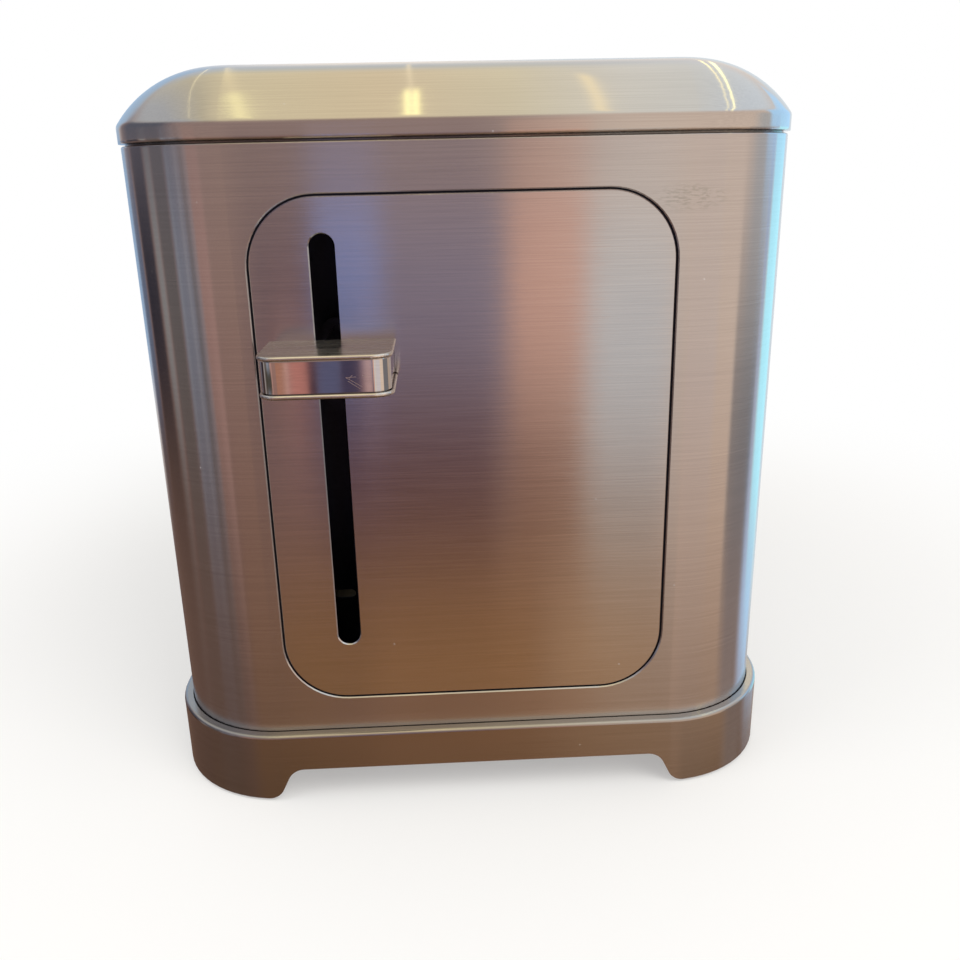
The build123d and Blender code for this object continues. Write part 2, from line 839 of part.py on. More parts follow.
def bread_guides():
    rail_length = 2 * (bulkhead_face + guide_rail_end)
    wire_height = guide_top_z - guide_bottom_z
    for name, x, direction in guide_places():
        with BuildPart() as grid:
            with BuildSketch(crosswise(rail_length / 2)):
                with Locations((x, guide_bottom_z), (x, guide_top_z)):
                    Circle(rail_radius)
            extrude(amount=rail_length)
            with BuildSketch(level(guide_bottom_z)):
                with Locations((x, 0)):
                    with GridLocations(0, guide_wire_pitch, 1, guide_wire_count):
                        Circle(guide_wire_radius)
            extrude(amount=wire_height)
        save(grid, name)


def bread_racks():
    tongue_front = carriage_y
    tongue_rear = bulkhead_face + guide_rail_end
    channel_half = chamber_half - chamber_margin
    channel_top = rack_z + tongue_height / 2
    for side_name, side in sides.items():
        x = side * slot_pitch / 2
        with BuildPart() as rack:
            with BuildSketch(level(channel_top - sheet)):
                with Locations((x, 0)):
                    Rectangle(rack_width, 2 * channel_half)
                    with GridLocations(0, rack_hole_pitch, 1, rack_hole_count):
                        Circle(rack_hole_radius, mode=Mode.SUBTRACT)
            extrude(amount=sheet)
            with BuildSketch(level(channel_top - rack_flange)):
                with Locations((x, 0)):
                    with GridLocations(rack_width - sheet, 0, 2, 1):
                        Rectangle(sheet, 2 * channel_half)
                for end in ends.values():
                    with Locations((x, end * (channel_half - sheet / 2))):
                        Rectangle(rack_width, sheet)
            extrude(amount=rack_flange - sheet)
            for near, far in ((tongue_front, -channel_half), (channel_half, tongue_rear)):
                with BuildSketch(crosswise(far)):
                    with Locations((x, rack_z)):
                        Rectangle(tongue_width, tongue_height)
                extrude(amount=far - near)
        save(rack, f"bread_rack_{side_name}")


def crumb_tray():
    front = -chamber_half + tray_front_gap
    rear = half_length
    length = rear - front
    with BuildPart() as tray:
        with BuildSketch(level(tray_bottom_z)):
            with Locations((0, (front + rear) / 2)):
                Rectangle(tray_width, length)
        extrude(amount=tray_height)
        with BuildSketch(level(tray_bottom_z + tray_wall)):
            with Locations((0, (front + rear) / 2)):
                Rectangle(tray_width - 2 * tray_wall, length - 2 * tray_wall)
        extrude(amount=tray_height - tray_wall, mode=Mode.SUBTRACT)
        with BuildSketch(level(tray_bottom_z + tray_height - tray_pull_thickness)) as lip:
            with Locations((0, rear + tray_pull_reach / 2)):
                Rectangle(tray_pull_width, tray_pull_reach)
            fillet(lip.vertices().group_by(Axis.Y)[-1], radius=tray_pull_reach / 2)
        extrude(amount=tray_pull_thickness)
    save(tray, "crumb_tray")


def tray_runners():
    front = -chamber_half + fit_gap
    rear = half_length - body_wall - fit_gap
    shelf_top = tray_bottom_z - fit_gap
    for side_name, side in sides.items():
        wall_x = side * (tray_width / 2 + fit_gap + sheet / 2)
        shelf_x = side * (tray_width / 2 + fit_gap + sheet - runner_shelf / 2)
        with BuildPart() as runner:
            with BuildSketch(level(floor_z)):
                with Locations((wall_x, (front + rear) / 2)):
                    Rectangle(sheet, rear - front)
            extrude(amount=shelf_top - floor_z + runner_height)
            for z in (floor_z, shelf_top - sheet):
                with BuildSketch(level(z)):
                    with Locations((shelf_x, (front + rear) / 2)):
                        Rectangle(runner_shelf, rear - front)
                extrude(amount=sheet)
        save(runner, f"tray_runner_{side_name}")


def browning_dial():
    back_x = -(body_width / 2 + fit_gap)
    face_x = -(body_width / 2 + dial_reach)
    boss_x = -(wall_inside_x - 2 * body_wall)
    with BuildPart() as dial:
        with BuildSketch(lengthwise(face_x)):
            with Locations((dial_y, control_z)):
                Circle(dial_radius)
                with PolarLocations(dial_radius + dial_flute_radius / 2, dial_flute_count):
                    Circle(dial_flute_radius, mode=Mode.SUBTRACT)
        extrude(amount=back_x - face_x)
        with BuildSketch(lengthwise(face_x)):
            with Locations((dial_y, control_z)):
                Circle(dial_radius - dial_face_inset)
        extrude(amount=dial_mark_depth, mode=Mode.SUBTRACT)
        with BuildSketch(lengthwise(face_x + dial_mark_depth)):
            with Locations((dial_y, control_z)):
                Circle(dial_radius - dial_face_inset - 2 * dial_mark_width)
            with Locations((dial_y, control_z + dial_radius - dial_face_inset - 2 * dial_mark_width)):
                Rectangle(dial_mark_width, 2 * dial_mark_width)
        extrude(amount=-dial_mark_depth)
        with BuildSketch(lengthwise(back_x)):
            with Locations((dial_y, control_z)):
                Circle(dial_boss_radius)
        extrude(amount=boss_x - back_x)
        with BuildSketch(lengthwise(boss_x)):
            with Locations((dial_y, control_z)):
                Circle(dial_shaft_radius + running_gap)
        extrude(amount=back_x - boss_x, mode=Mode.SUBTRACT)
    save(dial, "browning_dial")


def dial_shaft():
    outer_x = -(body_width / 2 + fit_gap)
    inner_x = -(board_face_x + 2 * fit_gap)
    with BuildPart() as shaft:
        with BuildSketch(lengthwise(outer_x)):
            with Locations((dial_y, control_z)):
                Circle(dial_shaft_radius)
        extrude(amount=inner_x - outer_x)
    save(shaft, "dial_shaft")


def dial_potentiometer():
    with BuildPart() as pot:
        with BuildSketch(lengthwise(-board_face_x)):
            with Locations((dial_y, control_z)):
                Circle(pot_radius)
                Circle(dial_shaft_radius + running_gap, mode=Mode.SUBTRACT)
        extrude(amount=-pot_height)
    save(pot, "dial_potentiometer")


def push_buttons():
    tip_x = -(board_face_x + switch_height + button_travel + fit_gap)
    face_x = -(body_width / 2 + button_reach)
    for name, y in zip(button_names, button_places):
        with BuildPart() as button:
            with BuildSketch(lengthwise(face_x)):
                with Locations((y, control_z)):
                    Circle(button_radius)
            extrude(amount=tip_x - face_x)
            fillet(button.edges().group_by(Axis.X)[0], radius=button_edge_radius)
            with BuildSketch(lengthwise(-(wall_inside_x - fit_gap))):
                with Locations((y, control_z)):
                    Circle(button_radius + button_flange)
            extrude(amount=button_flange_thickness)
        save(button, name)


def button_switches():
    with BuildPart() as switches:
        with BuildSketch(lengthwise(-board_face_x)):
            with Locations(*[(y, control_z) for y in button_places]):
                Rectangle(switch_size, switch_size)
        extrude(amount=-switch_height)
    save(switches, "button_switches")


def board_span():
    """The board's rear and front edges along the body."""
    return dial_y - board_margin - pot_radius, button_places[-1] + board_margin


def control_board():
    start, stop = board_span()
    with BuildPart() as board:
        with BuildSketch(lengthwise(-board_face_x)):
            with Locations(((start + stop) / 2, control_z)):
                Rectangle(stop - start, board_height)
        extrude(amount=board_thickness)
    save(board, "control_board")


def board_corner_places():
    start, stop = board_span()
    inset = 2 * standoff_radius
    reach = board_height / 2 - inset
    return [(y, control_z + z) for y in (start + inset, stop - inset) for z in (-reach, reach)]


def board_standoffs():
    with BuildPart() as standoffs:
        with BuildSketch(lengthwise(-(board_face_x - board_thickness))):
            with Locations(*board_corner_places()):
                Circle(standoff_radius)
        extrude(amount=standoff_length)
    save(standoffs, "board_standoffs")


def board_bracket():
    start, stop = board_span()
    x = -(board_face_x - board_thickness - standoff_length)
    top = control_z + board_height / 2
    with BuildPart() as bracket:
        with BuildSketch(lengthwise(x)):
            with Locations(((start + stop) / 2, (top + floor_z) / 2)):
                Rectangle(stop - start, top - floor_z)
        extrude(amount=sheet)
        with BuildSketch(level(floor_z)):
            with Locations((x - bulkhead_foot / 2 + sheet, (start + stop) / 2)):
                Rectangle(bulkhead_foot, stop - start)
        extrude(amount=sheet)
    save(bracket, "board_bracket")


def cord_bush():
    outside = half_length
    inner_face = half_length - body_wall - fit_gap
    with BuildPart() as bush:
        with BuildSketch(crosswise(outside)):
            with Locations((bush_x, bush_z)):
                Circle(bush_flange_radius)
        extrude(amount=-bush_flange_thickness)
        fillet(bush.edges().group_by(Axis.Y)[-1], radius=bush_flange_thickness / 2)
        with BuildSketch(crosswise(outside)):
            with Locations((bush_x, bush_z)):
                Circle(bush_hole_radius - fit_gap)
        extrude(amount=outside - inner_face)
        with BuildSketch(crosswise(inner_face)):
            with Locations((bush_x, bush_z)):
                Circle(bush_flange_radius)
        extrude(amount=bush_flange_thickness)
        with BuildSketch(crosswise(outside + bush_flange_thickness)):
            with Locations((bush_x, bush_z)):
                Circle(bush_bore_radius)
        extrude(amount=3 * bush_flange_thickness + body_wall, mode=Mode.SUBTRACT)
    save(bush, "cord_bush")


def terminal_block():
    with BuildPart() as block:
        with BuildSketch(crosswise(bulkhead_face)):
            with Locations((terminal_x, terminal_z)):
                Rectangle(terminal_width, terminal_height)
        extrude(amount=-terminal_depth)
        with BuildSketch(crosswise(bulkhead_face + terminal_depth)):
            with Locations((terminal_x, terminal_z)):
                with GridLocations(terminal_width / 3, 0, 3, 1):
                    Circle(2 * screw_radius)
        extrude(amount=terminal_depth / 2, mode=Mode.SUBTRACT)
    save(block, "terminal_block")


os.makedirs("parts", exist_ok=True)
body_shell()
base_plinth()
base_screws()
rubber_feet()
bottom_plate()
top_cap()
front_panel()
panel_backing()
handle_band()
handle_plates()
lever_stem()
carriage_bracket()
keeper_plate()
magnet_core()
magnet_coils()
guide_rod()
lift_spring()
for end_name, end in ends.items():
    bulkhead(end_name, end)
bulkhead_screws()
chamber_frame()
reflectors()
heaters()
bread_guides()
bread_racks()
crumb_tray()
tray_runners()
browning_dial()
dial_shaft()
dial_potentiometer()
push_buttons()
button_switches()
control_board()
board_standoffs()
board_bracket()
cord_bush()
terminal_block()
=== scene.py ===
import json
import math

import bmesh
import bpy
from mathutils import Matrix, Vector


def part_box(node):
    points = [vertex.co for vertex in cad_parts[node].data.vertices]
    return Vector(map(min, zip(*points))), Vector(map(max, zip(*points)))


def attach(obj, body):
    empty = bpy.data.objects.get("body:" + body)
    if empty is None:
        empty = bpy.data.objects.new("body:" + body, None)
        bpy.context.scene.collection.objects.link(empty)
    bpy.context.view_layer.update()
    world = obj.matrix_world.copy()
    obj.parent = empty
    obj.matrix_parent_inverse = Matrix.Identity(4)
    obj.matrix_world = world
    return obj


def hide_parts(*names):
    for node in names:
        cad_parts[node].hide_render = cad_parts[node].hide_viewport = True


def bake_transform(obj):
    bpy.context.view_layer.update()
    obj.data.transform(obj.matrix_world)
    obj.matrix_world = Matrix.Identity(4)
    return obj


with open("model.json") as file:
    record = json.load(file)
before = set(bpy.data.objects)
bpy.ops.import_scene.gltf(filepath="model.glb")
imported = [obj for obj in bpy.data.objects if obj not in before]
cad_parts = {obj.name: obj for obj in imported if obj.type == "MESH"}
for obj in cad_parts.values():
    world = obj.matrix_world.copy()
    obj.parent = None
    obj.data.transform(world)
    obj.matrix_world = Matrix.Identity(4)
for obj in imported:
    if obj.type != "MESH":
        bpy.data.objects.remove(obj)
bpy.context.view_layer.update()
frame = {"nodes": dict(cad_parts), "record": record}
nodes = frame["nodes"]
scene = bpy.context.scene
print("stage: frame loaded,", len(nodes), "nodes")


def hexColour(text, strength=1.0):
    # an ordinary screen colour, turned into Blender's linear light
    def channel(pair):
        value = int(pair, 16) / 255
        return value / 12.92 if value <= 0.04045 else ((value + 0.055) / 1.055) ** 2.4
    return tuple(channel(text[i:i + 2]) * strength for i in (0, 2, 4)) + (1.0,)


plainWhite = (1.0, 1.0, 1.0, 1.0)


# Camera at the photograph's place, in front of the lever end
camera = {
    "x": -0.0069,
    "inFront": 0.2409,   # of the body's front face
    "height": 0.1794,
    "yaw": 0.0400,       # towards +X
    "pitch": -0.3240,
    "roll": -0.0220,
    "lens": 35.0,
    "sensor": 36.0,
    "nearest": 0.01,
}


def addCamera(settings):
    data = bpy.data.cameras.new("camera")
    data.lens = settings["lens"]
    data.sensor_width = settings["sensor"]
    data.clip_start = settings["nearest"]
    cam = bpy.data.objects.new("camera", data)
    scene.collection.objects.link(cam)
    yaw, pitch, roll = settings["yaw"], settings["pitch"], settings["roll"]
    ahead = Vector((math.sin(yaw), math.cos(yaw), 0.0)) * math.cos(pitch)
    ahead.z = math.sin(pitch)
    level = Vector((math.cos(yaw), -math.sin(yaw), 0.0))
    up = level.cross(ahead)
    right = level * math.cos(roll) + up * math.sin(roll)
    top = up * math.cos(roll) - level * math.sin(roll)
    turn = Matrix((right, top, -ahead)).transposed().to_4x4()
    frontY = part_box("body_shell")[0].y
    place = (settings["x"], frontY - settings["inFront"], settings["height"])
    cam.matrix_world = Matrix.Translation(place) @ turn
    scene.camera = cam


addCamera(camera)
print("stage: camera placed")


# Shader helpers
def newMaterial(name):
    material = bpy.data.materials.new(name)
    material.use_nodes = True
    tree = material.node_tree
    return material, tree, tree.nodes["Principled BSDF"]


def addNode(tree, kind, inputs=None, **settings):
    node = tree.nodes.new("ShaderNode" + kind)
    for key, value in settings.items():
        setattr(node, key, value)
    for key, value in (inputs or {}).items():
        if isinstance(value, bpy.types.NodeSocket):
            tree.links.new(value, node.inputs[key])
        else:
            node.inputs[key].default_value = value
    return node


def addMath(tree, operation, *values):
    return addNode(tree, "Math", dict(enumerate(values)), operation=operation).outputs[0]


def addMix(tree, factor, a, b, blend="MIX"):
    node = addNode(tree, "Mix", data_type="RGBA", blend_type=blend)
    for socket, value in ((node.inputs[0], factor), (node.inputs[6], a), (node.inputs[7], b)):
        if isinstance(value, bpy.types.NodeSocket):
            tree.links.new(value, socket)
        else:
            socket.default_value = value
    return node.outputs[2]


def addRamp(tree, factor, stops):
    node = addNode(tree, "ValToRGB", {0: factor})
    ramp = node.color_ramp
    while len(ramp.elements) < len(stops):
        ramp.elements.new(0.5)
    for element, (place, colour) in zip(ramp.elements, stops):
        element.position = place
        element.color = colour
    return node.outputs[0]


def addRange(tree, value, start, stop, low=0.0, high=1.0):
    node = addNode(tree, "MapRange", {0: value, 1: start, 2: stop, 3: low, 4: high},
                   interpolation_type="SMOOTHSTEP")
    return node.outputs[0]


def plainNoise(tree, coords, scale, detail):
    return addNode(tree, "TexNoise", {"Vector": coords, "Scale": scale, "Detail": detail}).outputs[0]


def stretchedNoise(tree, coords, stretch, detail=2.0, roughness=0.6):
    scaled = addNode(tree, "VectorMath", {0: coords, 1: stretch}, operation="MULTIPLY")
    return addNode(tree, "TexNoise", {"Vector": scaled.outputs[0], "Scale": 1.0, "Detail": detail,
                                      "Roughness": roughness}).outputs[0]


# Plain floor, white world and two soft lamps
studio = {
    "floorSize": 6.0,
    "floorColour": hexColour("f8f7f5"),
    "fade": (0.16, 0.42),
    "nearWhite": 0.35,
    "paperRoughness": 0.9,
    "paperGloss": 0.1,
    "worldColour": (1.0, 0.99, 0.97, 1.0),
    "worldStrength": 0.80,
    "lamps": [
        {"name": "keyLamp", "place": (0.9, -1.1, 1.5), "size": 1.2, "power": 14.0,
         "colour": (1.0, 0.98, 0.95)},
        {"name": "fillLamp", "place": (-1.2, -0.4, 1.0), "size": 1.2, "power": 6.0,
         "colour": (0.95, 0.98, 1.0)},
    ],
    "aim": (0.0, 0.0, 0.1),
}


def makeWorld(settings):
    world = bpy.data.worlds.new("studioWorld")
    scene.world = world
    world.use_nodes = True
    tree = world.node_tree
    tree.nodes.clear()
    seen = addNode(tree, "Background", {"Color": plainWhite, "Strength": 1.0})
    lit = addNode(tree, "Background", {"Color": settings["worldColour"],
                                       "Strength": settings["worldStrength"]})
    path = addNode(tree, "LightPath")
    camOrGlossy = addMath(tree, "MAXIMUM", path.outputs["Is Camera Ray"], path.outputs["Is Glossy Ray"])
    shown = addMath(tree, "MAXIMUM", camOrGlossy, path.outputs["Is Transmission Ray"])
    mix = addNode(tree, "MixShader", {0: shown, 1: lit.outputs[0], 2: seen.outputs[0]})
    out = addNode(tree, "OutputWorld")
    tree.links.new(mix.outputs[0], out.inputs[0])


def makeFloor(settings):
    mesh = bpy.data.meshes.new("floor")
    shape = bmesh.new()
    bmesh.ops.create_grid(shape, x_segments=1, y_segments=1, size=settings["floorSize"])
    shape.to_mesh(mesh)
    shape.free()
    floor = bpy.data.objects.new("floor", mesh)
    scene.collection.objects.link(floor)
    material, tree, shader = newMaterial("floorPaper")
    shader.inputs["Base Color"].default_value = settings["floorColour"]
    shader.inputs["Roughness"].default_value = settings["paperRoughness"]
    shader.inputs["Specular IOR Level"].default_value = settings["paperGloss"]
    # the paper fades to plain white away from the object, for the camera alone
    coords = addNode(tree, "TexCoord").outputs["Object"]
    reach = addNode(tree, "VectorMath", {0: coords}, operation="LENGTH").outputs["Value"]
    fade = addRange(tree, reach, *settings["fade"], settings["nearWhite"], 1.0)
    path = addNode(tree, "LightPath")
    shown = addMath(tree, "MULTIPLY", fade, path.outputs["Is Camera Ray"])
    white = addNode(tree, "Emission", {"Color": plainWhite, "Strength": 1.0})
    mix = addNode(tree, "MixShader", {0: shown, 1: shader.outputs[0], 2: white.outputs[0]})
    out = tree.nodes["Material Output"]
    tree.links.new(mix.outputs[0], out.inputs[0])
    mesh.materials.append(material)
    floor.visible_glossy = False


def addLamp(settings, aim):
    data = bpy.data.lights.new(settings["name"], "AREA")
    data.shape = "SQUARE"
    data.size = settings["size"]
    data.energy = settings["power"]
    data.color = settings["colour"]
    lamp = bpy.data.objects.new(settings["name"], data)
    scene.collection.objects.link(lamp)
    lamp.location = settings["place"]
    lamp.rotation_euler = (Vector(aim) - lamp.location).to_track_quat("-Z", "Y").to_euler()
    lamp.visible_glossy = False


# A light tent round the object, which only the bare metal mirrors. Bearing 0 is straight in front
# of the lever end, 90 is the object's +X side; heights are degrees above level. Each colour is the
# tone that the steel then shows
tent = {
    "radius": 4.0,
    "facets": (48, 24),
    "gain": 1.56,
    "heightSpan": (-40.0, 20.0),
    "leftWall": [(-40, "463729"), (-34, "5c4735"), (-30, "7a583d"), (-26, "805c3c"), (-21.5, "6c4d40"),
                 (-15, "745650"), (-9, "866861"), (-1, "92786e"), (5, "887571")],
    "rightWall": [(-40, "4f3c2d"), (-34, "6a4f3b"), (-29, "9a7b62"), (-22, "b49681"), (-11, "c3af9f"),
                  (-2, "cebdae"), (5, "bfaea2")],
    "wallTurn": (1.0, 13.0),
    "behind": "d2ccc6",
    "behindDeep": (0.55, 0.95),
    "behindHeight": (-30.0, -20.0),
    "sky": [(-0.62, "a2a4a8"), (-0.36, "b4ac98"), (-0.20, "cabea1"), (-0.05, "ccbca0"), (0.08, "ccc2aa"),
            (0.19, "ccc9c2"), (0.30, "c8c9c8"), (0.65, "c3cad2")],
    "skyStart": (22.0, 40.0),
    "skyBack": [(-0.35, "96a9c0"), (-0.12, "a2adb6"), (0.10, "a9aeb2"), (0.35, "bfc1c8")],
    "skyBackStart": (0.60, 0.86),
    "overhead": (0.45, 0.55),
    "runSoft": 0.10,
    # each patch: name, bearings, heights, how soft its sides and its ends are, tone
    "patches": [
        # straight ahead
        ("mauveSheet", (-11.9, -7.5), (-17, 2), (0.35, 4), "605056"),
        ("lavenderSheet", (-7.5, -3.4), (-9, 0.5), (0.4, 2.5), "717c9f"),
        ("lavenderTop", (-7.5, -3.4), (-4.5, 0), (0.4, 1.5), "7e92cc"),
        ("duskSheet", (-3.4, 4.3), (-11, 1), (1.0, 4), "7c7586"),
        ("duskLow", (-7.5, 3.6), (-21, -11), (1.2, 3), "4e3031"),
        ("salmonSheet", (4.3, 9.3), (-11, 3), (0.5, 4), "c69a89"),
        ("salmonLow", (4.1, 9.3), (-22, -13), (1.2, 4), "68463a"),
        ("paleSheet", (9.3, 14.7), (-15, -1.2), (0.6, 1.4), "b9b9b9"),
        ("paleLow", (9.3, 14.7), (-23, -15), (0.8, 3), "8e7e74"),
        ("goldLow", (-11.6, 7.0), (-32, -23), (2.0, 3), "825c36"),
        ("goldMiddle", (-5.5, 6.0), (-30, -25.5), (1.5, 2), "93683e"),
        ("goldPale", (7.0, 15.5), (-32, -23), (2.0, 3), "9c7855"),
        ("plinthGlow", (-9, 28), (-42, -34), (5, 1.5), "7e5e48"),
        # what the polished band of the lever's handle shows
        ("bandAmber", (-10.8, -9.85), (-12.5, -7.5), (0.12, 1), "966a58"),
        ("bandFlame", (-9.82, -9.62), (-12.5, -7.5), (0.06, 1), "c09a90"),
        ("bandRose", (-9.55, -8.4), (-12.5, -7.5), (0.12, 1), "a26c64"),
        ("bandInk", (-8.4, -7.9), (-12.5, -7.5), (0.12, 1), "3c2c34"),
        ("bandBlue", (-7.85, -6.4), (-12.5, -7.5), (0.12, 1), "4f506a"),
        ("bandPlum", (-6.4, -5.1), (-12.5, -7.5), (0.12, 1), "3a3448"),
        ("bandBlush", (-5.1, -4.95), (-12.5, -7.5), (0.15, 1), "7a5c62"),
        ("bandPale", (-4.9, -4.4), (-12.5, -7.5), (0.10, 1), "aa8c8a"),
        ("bandSilver", (18, 46), (-12.5, -7.5), (4, 1), "b8b1b3"),
        # right corner
        ("greyPost", (68, 106), (-22, -5), (2.5, 4), "686669"),
        ("greyPostLow", (78, 106), (-40, -22), (5, 3), "806e66"),
        ("softGreyPost", (76, 106), (-5, 14), (9, 4), "a5a4a4"),
        ("blueRim", (103, 110), (-29, 14), (2.5, 4), "9ca2b4"),
        ("palePane", (134, 176), (-26, 24), (5, 4), "bcc3c9"),
        ("bluePane", (111, 137), (-21, 20), (1.5, 4), "aeeaf8"),
        ("bluePaneTop", (94, 140), (3.4, 30), (4, 1.2), "a6ccee"),
        ("bluePaneLow", (109, 137), (-29.5, -21), (2, 2), "a8c4e4"),
        # left corner
        ("pinkShade", (-46, -34), (-20, 2.5), (1.5, 3), "a07c74"),
        ("paleThread", (-47.5, -45), (-26, 2.5), (0.8, 1), "8e8387"),
        ("blueGreyPost", (-69, -48), (-24, 2.5), (1.5, 1), "767c8a"),
        ("blueGreyDip", (-53, -49), (-24, 2.5), (1.0, 1), "626369"),
        ("threadA", (-58, -56), (-24, 2.5), (0.8, 1), "8b8f99"),
        ("threadB", (-67.5, -65.5), (-24, 2.5), (0.8, 1), "8b8f99"),
        ("oliveShade", (-86, -70), (-28, 2.5), (1.5, 1), "5c5755"),
        ("paleStripe", (-95, -87), (-12.5, 2.5), (2, 1.5), "868584"),
        ("darkSlate", (-120, -97), (-28, 2.5), (3, 1), "1c1e29"),
        ("blueSlate", (-140, -122), (-24, 3), (3, 1), "565f72"),
        ("blueEdge", (-165, -137), (-10, 6), (4, 2.5), "8297b0"),
        ("leftUpper", (-126, -58), (3.5, 30), (14, 1), "545560"),
        ("leftTop", (-166, -134), (6, 32), (8, 3), "92a7be"),
        ("slateWarm", (-140, -94), (-36, -11), (3, 3), "46362f"),
        ("bandBrown", (-80, -40), (-10.5, -9.1), (3, 0.4), "3c3a34"),
        # warm light from below on the left
        ("warmLow", (-170, -36), (-36, -15), (8, 7), "5e483e"),
    ],
    # thin lamps overhead, running away from the lever end: name, place across where deep is 0, how
    # the line leans and bends with deep, its half width, its softness, its run in deep, tone, glow
    "strips": [
        ("farLeftLine", -0.448, 0.10, 0.154, 0.0012, 0.002, (-0.3, 0.9), "fff0c4", 1.5),
        ("leftLine", -0.193, -0.018, 0.0, 0.002, 0.003, (-0.4, 0.86), "fbe8b8", 1.1),
        ("leftLamp", -0.193, -0.018, 0.0, 0.0032, 0.003, (-0.5, 0.16), "fff6b4", 1.5),
        ("middleLine", -0.021, -0.004, 0.0, 0.0015, 0.0025, (-0.4, 0.88), "ecdcbc", 1.0),
        ("middleLampA", -0.026, 0.0, 0.0, 0.003, 0.0015, (-0.5, 0.16), "fff4b4", 1.35),
        ("middleLampB", -0.017, 0.0, 0.0, 0.003, 0.0015, (-0.5, 0.16), "fff4b4", 1.35),
        ("faintLine", 0.162, -0.020, 0.0, 0.005, 0.006, (-0.5, 0.45), "eedcb4", 1.1),
        ("rightLineA", 0.499, -0.190, -0.061, 0.0032, 0.002, (-0.6, 0.92), "fff0b4", 1.6),
        ("rightLineB", 0.556, -0.220, -0.064, 0.0072, 0.002, (-0.6, 0.92), "fff6bc", 1.7),
    ],
}


def between(tree, value, low, high, soft):
    rising = addRange(tree, value, low - soft, low + soft)
    falling = addRange(tree, value, high - soft, high + soft, 1.0, 0.0)
    return addMath(tree, "MULTIPLY", rising, falling)


def heightRamp(tree, height, stops, span, gain):
    place = addMath(tree, "DIVIDE", addMath(tree, "SUBTRACT", height, span[0]), span[1] - span[0])
    return addRamp(tree, place, [((h - span[0]) / (span[1] - span[0]), hexColour(tone, gain))
                                 for h, tone in stops])


def makeTent(settings):
    mesh = bpy.data.meshes.new("lightTent")
    shape = bmesh.new()
    around, upward = settings["facets"]
    bmesh.ops.create_uvsphere(shape, u_segments=around, v_segments=upward, radius=settings["radius"])
    bmesh.ops.reverse_faces(shape, faces=shape.faces)
    shape.to_mesh(mesh)
    shape.free()
    dome = bpy.data.objects.new("lightTent", mesh)
    scene.collection.objects.link(dome)
    material = bpy.data.materials.new("lightTent")
    material.use_nodes = True
    tree = material.node_tree
    tree.nodes.clear()
    gain, span = settings["gain"], settings["heightSpan"]
    coords = addNode(tree, "TexCoord").outputs["Object"]
    unit = addNode(tree, "VectorMath", {0: coords}, operation="NORMALIZE").outputs[0]
    parts = addNode(tree, "SeparateXYZ", {0: unit}).outputs
    ahead = addMath(tree, "MULTIPLY", parts[1], -1.0)
    bearing = addMath(tree, "DEGREES", addMath(tree, "ARCTAN2", parts[0], ahead))
    height = addMath(tree, "DEGREES", addMath(tree, "ARCSINE", parts[2]))
    left = heightRamp(tree, height, settings["leftWall"], span, gain)
    right = heightRamp(tree, height, settings["rightWall"], span, gain)
    colour = addMix(tree, addRange(tree, bearing, *settings["wallTurn"]), left, right)
    lit = addMath(tree, "MULTIPLY", addRange(tree, parts[1], *settings["behindDeep"]),
                  addRange(tree, height, *settings["behindHeight"]))
    colour = addMix(tree, lit, colour, hexColour(settings["behind"], gain))
    for _, bearings, heights, soft, tone in settings["patches"]:
        sideways = between(tree, bearing, *bearings, soft[0])
        upright = between(tree, height, *heights, soft[1])
        share = addMath(tree, "MULTIPLY", sideways, upright)
        colour = addMix(tree, share, colour, hexColour(tone, gain))
    across = addMath(tree, "MULTIPLY_ADD", parts[0], 0.5, 0.5)     # a ramp runs from 0 to 1
    sky, back = (addRamp(tree, across, [(x * 0.5 + 0.5, hexColour(tone, gain)) for x, tone in stops])
                 for stops in (settings["sky"], settings["skyBack"]))
    sky = addMix(tree, addRange(tree, parts[1], *settings["skyBackStart"]), sky, back)
    colour = addMix(tree, addRange(tree, height, *settings["skyStart"]), colour, sky)
    overhead = addRange(tree, parts[2], *settings["overhead"])
    for _, place, lean, bend, half, soft, run, tone, glow in settings["strips"]:
        # how far this point stands from the line at its own depth
        turn = addMath(tree, "MULTIPLY_ADD", parts[1], bend, lean)
        beside = addMath(tree, "SUBTRACT", parts[0], addMath(tree, "MULTIPLY", turn, parts[1]))
        line = between(tree, beside, place - half, place + half, soft)
        along = between(tree, parts[1], *run, settings["runSoft"])
        share = addMath(tree, "MULTIPLY", addMath(tree, "MULTIPLY", line, along), overhead)
        colour = addMix(tree, share, colour, hexColour(tone, gain * glow))
    glow = addNode(tree, "Emission", {"Color": colour, "Strength": 1.0})
    out = addNode(tree, "OutputMaterial")
    tree.links.new(glow.outputs[0], out.inputs[0])
    material.cycles.emission_sampling = "NONE"
    mesh.materials.append(material)
    dome.visible_camera = False
    dome.visible_diffuse = False
    dome.visible_transmission = False
    dome.visible_shadow = False


scene.view_settings.view_transform = "Standard"
makeWorld(studio)
makeFloor(studio)
makeTent(tent)
for lamp in studio["lamps"]:
    addLamp(lamp, studio["aim"])
print("stage: floor, world and light")


